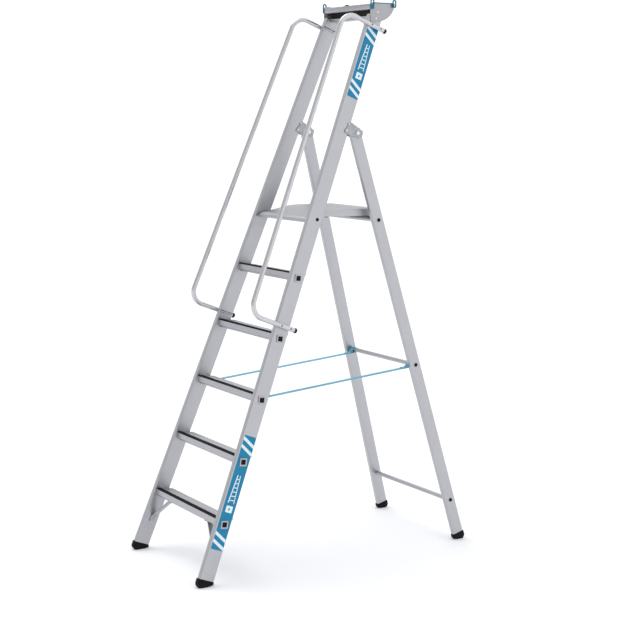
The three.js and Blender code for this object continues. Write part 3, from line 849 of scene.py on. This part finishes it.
def add_tread(number):
    """The hollow deck, and at each end its tube's flange and a black plug on the outside of the stile; the
    plug's black is painted shade for the open tube end.
    """
    along = FIRST_TREAD + (number - 1) * TREAD_PITCH
    place = tread_frame(number)
    outline, holes = tread_section()
    bm = bmesh.new()
    slab(bm, outline, -1, 1, along_x, 0, holes)
    fit_between_stiles(bm, along, 0.35)
    make(f"tread_deck_{number}", bm, place, CROSS_METAL, "front_frame",
         stands_for=[f"tread_{number}"])
    end = stile_outer(along - 20) + GAP + TREAD_PROUD
    inner = stile_inner(along) - 1
    size = TREAD_BORE - GAP
    for name, side in SIDES:
        bm = bmesh.new()
        flange = steps_from(end, (-3.1, TREAD_TUBE), (-2.7, TREAD_LIP - 0.5), (-1.9, TREAD_LIP),
                            (-0.6, TREAD_LIP), (0, TREAD_LIP - 0.8), (0, TREAD_BORE + 1), (-0.8, TREAD_BORE))
        profile = [(inner, TREAD_BORE), (inner, TREAD_TUBE - 0.3), *flange]
        turned(bm, profile, along_x, square_ring, hollow=True)
        make(f"tread_tube_end_{number}_{name}", bm, place, CROSS_METAL, "front_frame", side)
        # Black plug set back in the tube end: painted shade standing in for the dark inside of the open
        # tube.
        bm = bmesh.new()
        profile = steps_from(end, (-14, size - 0.6), (-13, size), (-1.6, size), (-0.9, size - 0.5),
                             (-0.9, size - 1.4), (-2.4, size - 2), (-2.4, 3.4), (-2, 2.6), (-2, 0))
        turned(bm, profile, along_x, square_ring)
        make(f"tube_end_shade_plug_{number}_{name}", bm, place, BLACK, "front_frame", side,
             [f"tread_plug_{number}_{name}"])
    add_grip(number, along, place)


def add_brace(name, side):
    """The riveted strip that props the first tread from the stile."""
    reach, pad, fall, foot, thick, clear = 96, 30, 84, 24, 3, 1.6
    top = -TREAD_TUBE - GAP
    bend = top - fall
    wall_top = stile_inner(FIRST_TREAD - fall - 19) - clear
    wall_low = stile_inner(FIRST_TREAD - fall - foot - 25) - clear
    outline = [(wall_top - reach - pad, top), (wall_top - reach, top), (wall_top, bend),
               (wall_low, bend - foot), (wall_low - thick, bend - foot), (wall_top - thick, bend - 1),
               (wall_top - reach - 1, top - thick), (wall_top - reach - pad, top - thick)]
    bm = bmesh.new()
    slab(bm, rounded(outline, 3.5, 4), -12, 12, along_y, 0.5)
    for x in (wall_top - reach - 22, wall_top - reach - 9):
        dome(bm, top - thick, along_z, 3.2, -1.8, (x, 0))
    foot_tilt = Matrix.Rotation(atan(STILE_TAPER), 4, "Y")
    for along in (8, 17):
        head = bmesh.new()
        dome(head, 0, along_x, 3.2, -1.8, (0, 0))
        share = along / foot
        x = (wall_top - thick) * (1 - share) + (wall_low - thick) * share
        place = Matrix.Translation((x, 0, bend - along)) @ foot_tilt
        bmesh.ops.transform(head, matrix=place, verts=head.verts)
        join(bm, head)
    slope = tan(LEAN - TREAD_TILT)
    for vertex in bm.verts:
        vertex.co.y += slope * (vertex.co.z - top)
    make(f"brace_strip_{name}", bm, tread_frame(1), CROSS_METAL, "front_frame", side,
         [f"tread_brace_{name}"])


def join(bm, other):
    """Adds the other mesh to the first."""
    mesh = bpy.data.meshes.new("join")
    other.to_mesh(mesh)
    other.free()
    bm.from_mesh(mesh)
    bpy.data.meshes.remove(mesh)


# ---------------- hinge
BRACKET = [(46, 1901), (84, 1899), (124, 1905), (133, 1914),
           (131, 1938), (68, 1951), (59, 1950), (44, 1910)]
BRACKET_SHEET = 2.6


def add_hinge(name, side):
    bm = bmesh.new()
    outline = rounded(BRACKET, 6, 4)
    hole = [(PIVOT_DEPTH + u, PIVOT_ALONG + v) for u, v in circle_ring(5.4, 24)]
    slab(bm, outline, GAP, GAP + BRACKET_SHEET, along_x, 0.6, [hole])
    inner = -STILE_THICK - GAP
    slab(bm, outline, inner - BRACKET_SHEET, inner, along_x, 0.6, [hole])
    web = rectangle(inner - 0.5, STILE_DEPTH + GAP, GAP + 0.5, STILE_DEPTH + GAP + BRACKET_SHEET)
    slab(bm, web, 1904, 1946, along_z, 0.5)
    press = [(PIVOT_DEPTH + u, PIVOT_ALONG + v) for u, v in circle_ring(13.5, 32)]
    bore = [(PIVOT_DEPTH + u, PIVOT_ALONG + v) for u, v in circle_ring(9.5, 32)]
    slab(bm, press, GAP + BRACKET_SHEET - 0.3, GAP + BRACKET_SHEET + 0.45, along_x, 0.35, [bore])
    make(f"bracket_{name}", bm, stile_frame(side), ZINC, "front_frame", side,
         [f"hinge_bracket_{name}"])
    bm = bmesh.new()
    for centre in ((55.5, 1941.5), (54.8, 1912.5)):
        dome(bm, GAP + BRACKET_SHEET, along_x, 4.1, 2.2, centre)
        dome(bm, inner - BRACKET_SHEET, along_x, 4.1, -2.0, centre)
    make(f"bracket_rivets_{name}", bm, stile_frame(side), STEEL, "front_frame", side)


def add_hinge_bolt(name, side):
    y, z = on_stile(PIVOT_DEPTH, PIVOT_ALONG)
    middle = stile_outer(PIVOT_ALONG) - STILE_THICK / 2
    reach = STILE_THICK / 2 + 2 * GAP + BRACKET_SHEET + 0.6
    bm = bmesh.new()
    head = steps_from(reach, (0, 5), (0, 8.2), (0.5, 8.6), (1.4, 8.4), (2.8, 7), (3.7, 4.6), (4, 2.4),
                      (3.2, 2), (3.2, 0))
    turned(bm, [(-reach - 1, 0), (-reach - 1, 4.9), (reach + 0.3, 5)], along_x)
    turned(bm, [(reach - 0.2, 0), *head], along_x)
    washer = steps_from(-reach, (0, 4), (0, 8.4), (1, 8.4), (1.1, 4), sign=-1)
    turned(bm, washer, along_x, hollow=True)

    def hexagon(size):
        return rounded(circle_ring(size, 6), 0.8, 2)

    nut = steps_from(-reach, (0.9, 0), (0.9, 7.2), (1.1, 7.4), (3.6, 7.4), (4, 6.9), (4, 0), sign=-1)
    turned(bm, nut, along_x, hexagon)
    place = level_frame(y, z, side * middle)
    make(f"pivot_bolt_{name}", bm, place, STEEL, "front_frame", side, [f"hinge_bolt_{name}"])


# ---------------- platform
PLATFORM_REAR = 914
TOP_LINE = [(562, 1402), (565, 1406), (570, 1409.5), (580, 1412.2), (600, 1415.5), (628, 1420.8),
            (656, 1426.4), (690, 1432.8), (712, 1436), (730, 1437.4), (752, 1438), (PLATFORM_REAR, 1438)]
BOTTOM_LINE = [(562, 1390), (622, 1392), (634, 1398), (646, 1407), (655, 1410.6), (668, 1411),
               (906, 1404.5), (PLATFORM_REAR, 1396)]
PLATFORM_STATIONS = (562, 563.5, 566, 570, 580, 600, 622, 628, 634, 646, 655, 668, 690, 700, 712,
                     730, 738, 744, 752, 800, 850, 896, 904, 909, 912, PLATFORM_REAR)
FRONT_HALF, REAR_HALF, SHEET = 189, 171, 2.4


def height_at(line, y):
    for (y0, z0), (y1, z1) in zip(line, line[1:]):
        if y <= y1:
            return z0 + (z1 - z0) * (y - y0) / (y1 - y0)
    return line[-1][1]


def platform_half(y):
    straight = 700
    if y <= straight:
        return FRONT_HALF
    return FRONT_HALF + (REAR_HALF - FRONT_HALF) * (y - straight) / (PLATFORM_REAR - straight)


def platform_ring(y, ribs, proud):
    """The platform's section at one place: a ribbed skin with a folded skirt at each side."""
    top = height_at(TOP_LINE, y)
    bottom = height_at(BOTTOM_LINE, y)
    half = platform_half(y)
    fold = 3.2
    flat = half - fold - 4
    crest = []
    for k in range(ribs):
        start = flat - (2 * flat) * k / ribs
        pitch = 2 * flat / ribs
        for share, rise in ((0.0, 0), (0.22, 0), (0.34, 1), (0.66, 1), (0.78, 0)):
            crest.append((start - pitch * share, top - 1 + proud * rise))
    ease = [(half, top - fold - 1), (half - 0.5, top - 2.4), (half - 1.6, top - 1.4),
            (half - fold, top - 1)]
    outer = [(half, bottom), *ease, *crest, *[(-x, z) for x, z in reversed(ease)], (-half, bottom)]
    inset = half - SHEET
    inner = [(-inset, bottom), (-inset, top - SHEET - 3), (-inset + 2, top - SHEET - 1.2),
             (inset - 2, top - SHEET - 1.2), (inset, top - SHEET - 3), (inset, bottom)]
    return [(x, y, z) for x, z in outer + inner]


def add_platform():
    ribs = 23
    bm = bmesh.new()
    rings = []
    for y in PLATFORM_STATIONS:
        fade = min(1, max(0, (y - 563) / 6)) * min(1, max(0, (PLATFORM_REAR - 4 - y) / 8))
        rings.append(platform_ring(y, ribs, fade))
    rows = loft(bm, rings)
    close_ends(bm, rows)
    slab(bm, rectangle(-FRONT_HALF + 0.3, 1390.2, FRONT_HALF - 0.3, 1400.4), 562.2, 564.8, along_y, 0.4)
    slab(bm, rectangle(-REAR_HALF - 0.1, 1394, REAR_HALF + 0.1, 1435.5), 911, 913.8, along_y, 0.4)
    for y in (668, 780):
        half = platform_half(y + 24) - SHEET - 0.2
        under = height_at(TOP_LINE, y) - 4.4
        stiffener = [(y, 1405), (y + 2.2, 1405), (y + 2.2, 1425), (y + 24, 1425), (y + 24, under),
                     (y, under)]
        slab(bm, stiffener, -half, half, along_x, 0.3)
    make("platform_plate", bm, LADDER, DECK_METAL, "platform", stands_for=["platform_deck"])


def capped_tube(name, radius, half, body, place, node):
    """A cross tube with flared ends, and a black plug in each."""
    bm = bmesh.new()
    proud = 0.5
    inner = radius - TUBE_WALL
    flare = radius + proud
    right = steps_from(half, (-2.4, radius), (-1.2, radius + proud * 0.7), (-0.5, flare), (0, flare),
                       (0.35, radius + proud * 0.3), (0, inner))
    left = [(-t, r) for t, r in reversed(right)]
    turned(bm, [*right, *left], along_x, hollow=True)
    make(name, bm, place, CROSS_METAL, body, stands_for=[node])
    bm = bmesh.new()
    for side in (-1, 1):
        profile = steps_from(side * half, (-12, 0), (-12, inner - 0.4), (0.2, inner - 0.2),
                             (0.9, inner + 0.3), (1.3, inner - 0.6), (1.3, inner - 2.2),
                             (0.4, inner - 2.8), (0.4, 0), sign=side)
        turned(bm, profile, along_x)
    make(f"{name}_plugs", bm, place, BLACK, body)


def add_cross_tubes():
    half = stile_outer(PLATFORM_PIVOT[1]) + 0.6
    place = level_frame(*on_stile(*PLATFORM_PIVOT))
    capped_tube("platform_rod", ROD_RADIUS, half, "front_frame", place, "platform_pivot_rod")
    for name, along in BAR_ALONG.items():
        half = leg_outer(along) + 0.6
        place = level_frame(*on_leg(BAR_DEPTH, along))
        capped_tube(f"{name}_bar", BAR_RADIUS, half, "rear_frame", place, f"{name}_crossbar")


# ---------------- handrails
def add_rail(name, side):
    x = RAIL_RADIUS + 2 * GAP
    low = arc(RAIL_BEND - RAIL_BOW, RAIL_LOW + RAIL_BEND, RAIL_BEND, -90, -180, 16)
    high = arc(RAIL_BEND - RAIL_BOW_TOP, RAIL_HIGH - RAIL_BEND, RAIL_BEND, 180, 90, 16)
    bends = [(RAIL_TAIL, RAIL_LOW), *low, *high, (RAIL_TAIL, RAIL_HIGH)]
    path = [(x, depth, along) for depth, along in bends]
    bm = bmesh.new()
    pipe(bm, path, RAIL_RADIUS, TUBE_WALL, (1, 0, 0))
    place = stile_frame(side)
    make(f"rail_{name}", bm, place, TUBE_METAL, "front_frame", side, [f"handrail_{name}"], smooth=50)
    caps = bmesh.new()
    bolts = bmesh.new()
    tip = RAIL_TAIL + 2.6
    skirt = RAIL_RADIUS + 0.15
    for along in (RAIL_LOW, RAIL_HIGH):
        profile = steps_from(tip, (-12, RAIL_RADIUS + 0.1), (-11.8, skirt), (-2, skirt), (-0.6, skirt - 0.6),
                             (0, skirt - 2.2), (0, 3), (-0.3, 0))
        turned(caps, profile, along_y, centre=(x, along))
        for depth in (15, 60):
            dome(bolts, 2 * RAIL_RADIUS + 0.2, along_x, 3.6, 2.4, (depth, along))
    make(f"rail_caps_{name}", caps, place, BLACK, "front_frame", side)
    make(f"rail_bolts_{name}", bolts, place, DARK_STEEL, "front_frame", side)
    inner = -STILE_THICK - GAP
    # Painted shadow: a thin black strip along the edge of each clamp plate stands for the plate's shadow on
    # the stile.
    clamp_shadow_strips = bmesh.new()
    for level, along in (("lower", RAIL_LOW), ("upper", RAIL_HIGH)):
        bm = bmesh.new()
        plate = rounded(rectangle(2, along - 4, STILE_DEPTH - 6, along + 3.8), 2.8, 4)
        slab(bm, plate, inner - 3, inner, along_x, 0.6)
        for depth in (15, 50):
            dome(bm, inner - 3, along_x, 2.8, -2, (depth, along))
        make(f"rail_clamp_{level}_{name}", bm, place, CROSS_METAL, "front_frame", side,
             [f"handrail_clamp_{level}_{name}"])
        strip = rounded(rectangle(1, along + 4, STILE_DEPTH - 2, along + 6), 0.9, 3)
        slab(clamp_shadow_strips, strip, inner - 3.4, inner, along_x, 0.4)
    make(f"rail_clamp_shadow_strips_{name}", clamp_shadow_strips, place, BLACK, "front_frame", side)


# ---------------- tool tray
def add_tray():
    """The aluminium pan with its rolled rim, the rail and the dark bin under it, and its knob. The bin's
    black also paints in the shade under the tray.
    """
    half = stile_outer(STILE_TOP + 30) - GAP
    middle = (TRAY_FRONT + TRAY_REAR) / 2
    depth = (TRAY_REAR - TRAY_FRONT) / 2
    outline = rounded(rectangle(-half, middle - depth, half, middle + depth), 5, 5)
    outside = steps_from(TRAY_FLOOR, (0, 3), (0.9, 0.9), (3, 0))
    rim = steps_from(TRAY_RIM, (-5.5, 0), (-5, -0.5), (-1.2, -0.5), (-0.2, 0.3), (0, 1.2), (-0.3, 2.6),
                     (-2, 3.2), (-4, 2.2))
    inside = steps_from(TRAY_FLOOR, (5, 2.2), (2.8, 3), (2, 5))
    bm = bmesh.new()
    stacked(bm, outline, outside + rim + inside)
    for k in range(9):
        y = middle - depth + 22 + k * 11
        bead = rounded(rectangle(-half + 16, y - 1.8, half - 16, y + 1.8), 1.7, 4)
        slab(bm, bead, TRAY_FLOOR + 1.6, TRAY_FLOOR + 2.9, along_z, 0.8)
    make("tray_pan", bm, LADDER, CROSS_METAL, "front_frame", stands_for=["tool_tray"])
    bm = bmesh.new()
    front, rear, low, high = 896, 932, 2211, 2226
    outer = rounded(rectangle(front, low, rear, high), 4, 6)
    inner = rounded(rectangle(front + 2, low + 2, rear - 2, high - 2), 2, 6)
    reach = stile_inner(STILE_TOP) - GAP
    slab(bm, outer, -reach, reach, along_x, 0, [inner])
    make("head_rail", bm, LADDER, CROSS_METAL, "front_frame", stands_for=["top_cross_rail"])
    # Black plastic bin under the pan; its black also stands in for the shade in the space under the tray.
    half, front, rear, bottom, wall = 158, 900, 985, 2227, 2.4
    outline = rounded(rectangle(-half, front, half, rear), 6, 5)
    brim = TRAY_FLOOR - 0.5
    profile = [*steps_from(bottom, (0, 4), (1.2, 1.2), (4, 0)), (brim, 0), (brim, wall),
               *steps_from(bottom, (5, wall), (wall, wall + 3))]
    bm = bmesh.new()
    stacked(bm, outline, profile)
    make("tray_bin", bm, LADDER, BLACK, "front_frame", stands_for=["tray_liner"])
    bm = bmesh.new()
    knob = steps_from(TRAY_RIM, (-1, 0), (-1, 6), (0.4, 8), (2.4, 8), (3.6, 6.6), (4, 3), (4, 0))
    turned(bm, knob, along_z, centre=(0, TRAY_FRONT + 5))
    make("tray_knob", bm, LADDER, BLACK, "front_frame")


def add_end_plate(name, side):
    """The shield-shaped cheek that ties the tray to the stile, with its blue edging and loops."""
    sheet, bottom, top = 2.5, 2197, 2275
    sweep_reach = TRAY_REAR - TRAY_FRONT - 24
    curve = [(y, top + (z - top) * (top - bottom) / sweep_reach)
             for y, z in arc(TRAY_FRONT + 24, top, sweep_reach, -84, 0, 14)]
    outline = [(TRAY_FRONT + 1, top), (TRAY_FRONT + 1, bottom + 4), (TRAY_FRONT + 8, bottom - 1), *curve]
    x = stile_outer(2375) + 2 * GAP
    bm = bmesh.new()
    slab(bm, rounded(outline, 3, 3), x, x + sheet, along_x, 0.6)
    make(f"end_cheek_{name}", bm, LADDER, CHEEK_METAL, "front_frame", side, [f"tray_end_plate_{name}"])
    bm = bmesh.new()
    for centre in ((31.5, 2417), (33.5, 2389)):
        dome(bm, x + sheet, along_x, 4.2, 2.2, on_stile(*centre))
    make(f"end_cheek_rivets_{name}", bm, LADDER, STEEL, "front_frame", side)
    start = x + sheet + GAP
    width, crown = 17, 2281.5
    for end, y0, low in (("front", TRAY_FRONT - 1, 2249), ("rear", TRAY_REAR + 4 - width, 2257)):
        y1 = y0 + width
        cap = [(y0, low + 5), (y0 + 1.5, low + 1.5), (y0 + 5, low), (y1 - 5, low), (y1 - 1.5, low + 1.5),
               (y1, low + 5), *arc(y0 + width / 2, crown, width / 2, 0, 180, 14)]
        slot = rounded(rectangle(y0 + 3.6, 2262, y1 - 3.6, 2285), 4.6, 5)
        bm = bmesh.new()
        slab(bm, cap, start, start + 7, along_x, 1.5, [slot], steps=3)
        make(f"corner_loop_{end}_{name}", bm, LADDER, BLUE, "front_frame", side,
             [f"tray_cap_{end}_{name}"])
    bm = bmesh.new()
    edging = rounded(rectangle(TRAY_FRONT + 16.5, top - 2.5, TRAY_REAR - 13.5, top + 1.5), 1.2, 3)
    slab(bm, edging, x - 0.8, x + sheet + 1, along_x, 0.6)
    make(f"cheek_edging_{name}", bm, LADDER, BLUE, "front_frame", side)


# ---------------- stickers
def film_piece(name, outlines, lift, thick, material, side):
    bm = bmesh.new()
    for outline, holes in outlines:
        slab(bm, outline, lift, lift + thick, along_x, 0.04, holes, steps=1)
    make(name, bm, stile_frame(side), material, "front_frame", side)


def stripe(low_edge, front, rear, rise, width):
    """A diagonal band across the film that climbs towards the front edge."""
    high_edge = low_edge + rise
    return [(front, high_edge), (front, high_edge + width), (rear, low_edge + width), (rear, low_edge)]


def pictogram(start, front, rear):
    """A plain drawing of an open step ladder, lying along the film."""
    middle = (front + rear) / 2
    shapes = []

    def line(a, b, width):
        first, second = Vector(a), Vector(b)
        across = (second - first).normalized()
        normal = Vector((-across.y, across.x)) * width / 2
        corners = (first + normal, first - normal, second - normal, second + normal)
        shapes.append(([tuple(c) for c in corners], []))

    square = rounded(rectangle(middle - 15, start, middle + 15, start + 27), 2.5, 3)
    window = rounded(rectangle(middle - 3.5, start + 9, middle + 3.5, start + 18), 1.5, 3)
    shapes.append((square, [window]))
    base = start + 38
    peak = base + 112
    line((middle - 13, base), (middle - 5, peak), 4.6)
    line((middle + 13, base), (middle + 7, peak), 3.4)
    for k in range(6):
        along = base + 10 + k * 17
        share = (along - base) / (peak - base)
        line((middle - 13 + 8 * share, along), (middle + 12.6 - 5.6 * share, along + 2), 3.6)
    return shapes


def add_stickers(name, side):
    front, rear = 7.5, 62.5
    for level, low, high, art, tubes, bands in (
        ("lower", 163, 622, 313, (FIRST_TREAD, FIRST_TREAD + TREAD_PITCH), (172, 203, 553, 584)),
        ("upper", 2047, 2356, 2128, (), (2060, 2089, 2292, 2322)),
    ):
        holes = []
        for along in tubes:
            turn = Matrix.Rotation(LEAN - TREAD_TILT, 2)
            ring = [turn @ Vector(p) for p in square_ring(TREAD_LIP + 0.6)]
            holes.append([(TREAD_DEPTH + p.x, along + p.y) for p in ring])
        sheet = rounded(rectangle(front, low, rear, high), 3, 4)
        film_piece(f"sticker_{level}_{name}", [(sheet, holes)], 0.04, 0.22, BLUE_FILM, side)
        marks = []
        for band in bands:
            marks.append((stripe(band - 7, front + 0.2, rear - 0.2, 26, 13), []))
        marks += pictogram(art, 19, 53)
        film_piece(f"sticker_marks_{level}_{name}", marks, 0.2, 0.16, WHITE_FILM, side)


# ---------------- studio
KEY_STRENGTH = 0.95
KEY_WIDTH = radians(48)
KEY_HEADING = Vector((0.38, 0.22, -0.9))
SKY = {"From Min": -0.8, "From Max": 0.3, "To Min": 0.68, "To Max": 1.19}  # brighter behind the ladder


def add_studio():
    """A pale floor, a sky that is dimmer on the climbing side, and one soft key light."""
    floor_mesh = bpy.data.meshes.new("floor")
    bm = bmesh.new()
    slab(bm, rounded(rectangle(-40, -40, 40, 40), 6, 8), -0.05, 0, along_z, 0.01)
    bm.to_mesh(floor_mesh)
    bm.free()
    paint = Paint("studio_floor", 0.9, 0.0, Specular_IOR_Level=0.1)
    grain = paint.noise(2.0, 3.0)
    paint.wire(Base_Color=paint.ramp(grain, (0.3, (0.885, 0.885, 0.9)), (0.7, (0.9, 0.9, 0.915))))
    floor_mesh.materials.append(paint.material)
    floor = bpy.data.objects.new("floor", floor_mesh)
    bpy.context.collection.objects.link(floor)

    world = bpy.data.worlds.new("studio")
    bpy.context.scene.world = world
    world.use_nodes = True
    tree = world.node_tree
    heading = tree.nodes.new("ShaderNodeSeparateXYZ")
    spread = tree.nodes.new("ShaderNodeMapRange")
    tree.links.new(tree.nodes.new("ShaderNodeTexCoord").outputs["Generated"], heading.inputs[0])
    tree.links.new(heading.outputs["Y"], spread.inputs["Value"])
    for socket, value in SKY.items():
        spread.inputs[socket].default_value = value
    background = tree.nodes["Background"]
    background.inputs["Color"].default_value = (0.985, 0.99, 1.0, 1)
    tree.links.new(spread.outputs["Result"], background.inputs["Strength"])

    sun = bpy.data.lights.new("key", "SUN")
    sun.energy = KEY_STRENGTH
    sun.angle = KEY_WIDTH
    light = bpy.data.objects.new("key", sun)
    bpy.context.collection.objects.link(light)
    light.rotation_mode = "QUATERNION"
    light.rotation_quaternion = KEY_HEADING.to_track_quat("-Z", "Y")
    scene = bpy.context.scene
    scene.view_settings.view_transform = "Standard"
    scene.view_settings.look = "None"
    scene.view_settings.exposure = 0.0


add_camera()
for name, side in SIDES:
    add_strap(name, side)
    add_strap_loop(name, side)
    add_strap_anchor(name, side)
for name, side in SIDES:
    add_uprights(name, side)
    add_leg_cap(name, side)
    add_feet(name, side)
    add_brace(name, side)
    add_hinge(name, side)
    add_hinge_bolt(name, side)
    add_rail(name, side)
    add_end_plate(name, side)
    add_stickers(name, side)
for number in range(1, TREADS + 1):
    add_tread(number)
add_platform()
add_cross_tubes()
add_tray()
add_studio()
